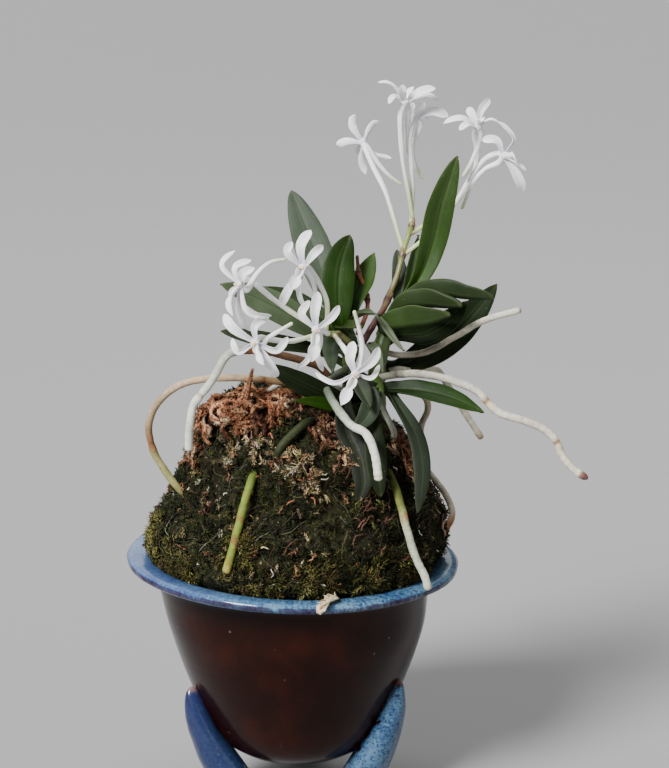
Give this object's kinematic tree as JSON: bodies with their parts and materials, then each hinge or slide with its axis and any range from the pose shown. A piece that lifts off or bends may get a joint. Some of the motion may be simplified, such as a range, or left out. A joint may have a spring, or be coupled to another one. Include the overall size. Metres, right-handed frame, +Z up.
{
  "type": "potted wind orchid",
  "caption": "Wind orchid with spurred white blooms, folded leaves and bare roots, on a moss mound in a footed glazed pot.",
  "frame": {"origin": "middle of the bottom of the bounding box, on the ground plane of the three feet", "axes": "+Z up, +Y away from the side that the blooms face, +X to that side's right"},
  "size_m": [0.1478, 0.1098, 0.231],
  "materials": {
    "glazed_pot": "glossy dark brown glaze, mottled blue on the lip and feet",
    "moss": "shaggy damp moss over packed moss fibre",
    "dry_moss": "dry orange-brown moss and dead stalk",
    "pale_moss": "dry straw-coloured moss",
    "stem": "satin green",
    "stalk": "satin yellow-green",
    "petal": "soft waxy white",
    "leaf_mid": "satin mid green",
    "leaf_bright": "satin bright green",
    "leaf_dark": "satin dark green",
    "leaf_grey": "satin grey-green",
    "root_tan": "matt tan, brown at the joints",
    "root_white": "matt silvery white",
    "root_green": "satin moist green"
  },
  "bodies": {
    "root": {"pot": "glazed_pot", "stem_left": "stem", "stem_right": "stem", "stem_front": "stem", "flower_stalk_high": "stalk", "flower_stalk_low": "stalk", "dry_flower_stalk": "dry_moss", "bloom_low_1": "petal", "bloom_low_2": "petal", "bloom_low_3": "petal", "bloom_low_4": "petal", "bloom_low_5": "petal", "bloom_high_1": "petal", "bloom_high_2": "petal", "bloom_high_3": "petal", "bloom_high_4": "petal", "bloom_high_5": "petal", "leaf_front_cup": "leaf_grey", "leaf_front_middle": "leaf_grey", "leaf_front_long": "leaf_grey", "leaf_front_hanging": "leaf_dark", "leaf_front_curved": "leaf_dark", "leaf_front_bright": "leaf_bright", "leaf_front_left": "leaf_dark", "leaf_front_right": "leaf_bright", "leaf_left_broad": "leaf_bright", "leaf_left_narrow": "leaf_mid", "leaf_left_tall": "leaf_grey", "leaf_left_long": "leaf_grey", "leaf_left_upper": "leaf_dark", "leaf_left_lower": "leaf_dark", "leaf_left_drooping": "leaf_grey", "leaf_left_sheath": "leaf_bright", "leaf_left_bract": "leaf_grey", "leaf_right_tall": "leaf_mid", "leaf_right_upper": "leaf_mid", "leaf_right_middle": "leaf_mid", "leaf_right_short": "leaf_mid", "leaf_right_broad": "leaf_dark", "leaf_right_under": "leaf_dark", "leaf_right_heart": "leaf_grey", "leaf_right_inner": "leaf_dark", "leaf_right_bract": "leaf_grey", "leaf_right_bract_low": "leaf_grey", "root_front_white": "root_white", "root_right_long": "root_white", "root_right_upper": "root_white", "root_left_hanging": "root_white", "root_left_arch": "root_tan", "root_rear_right": "root_white", "root_rear_loop": "root_white", "root_moss_left": "root_green", "root_moss_right": "root_white", "root_short_grey": "root_white", "root_moss_dark": "root_green", "root_top_pale": "root_white", "moss_mound": "moss", "dry_moss_cap": "dry_moss", "dry_moss_scrap": "pale_moss"}
  },
  "joints": []
}
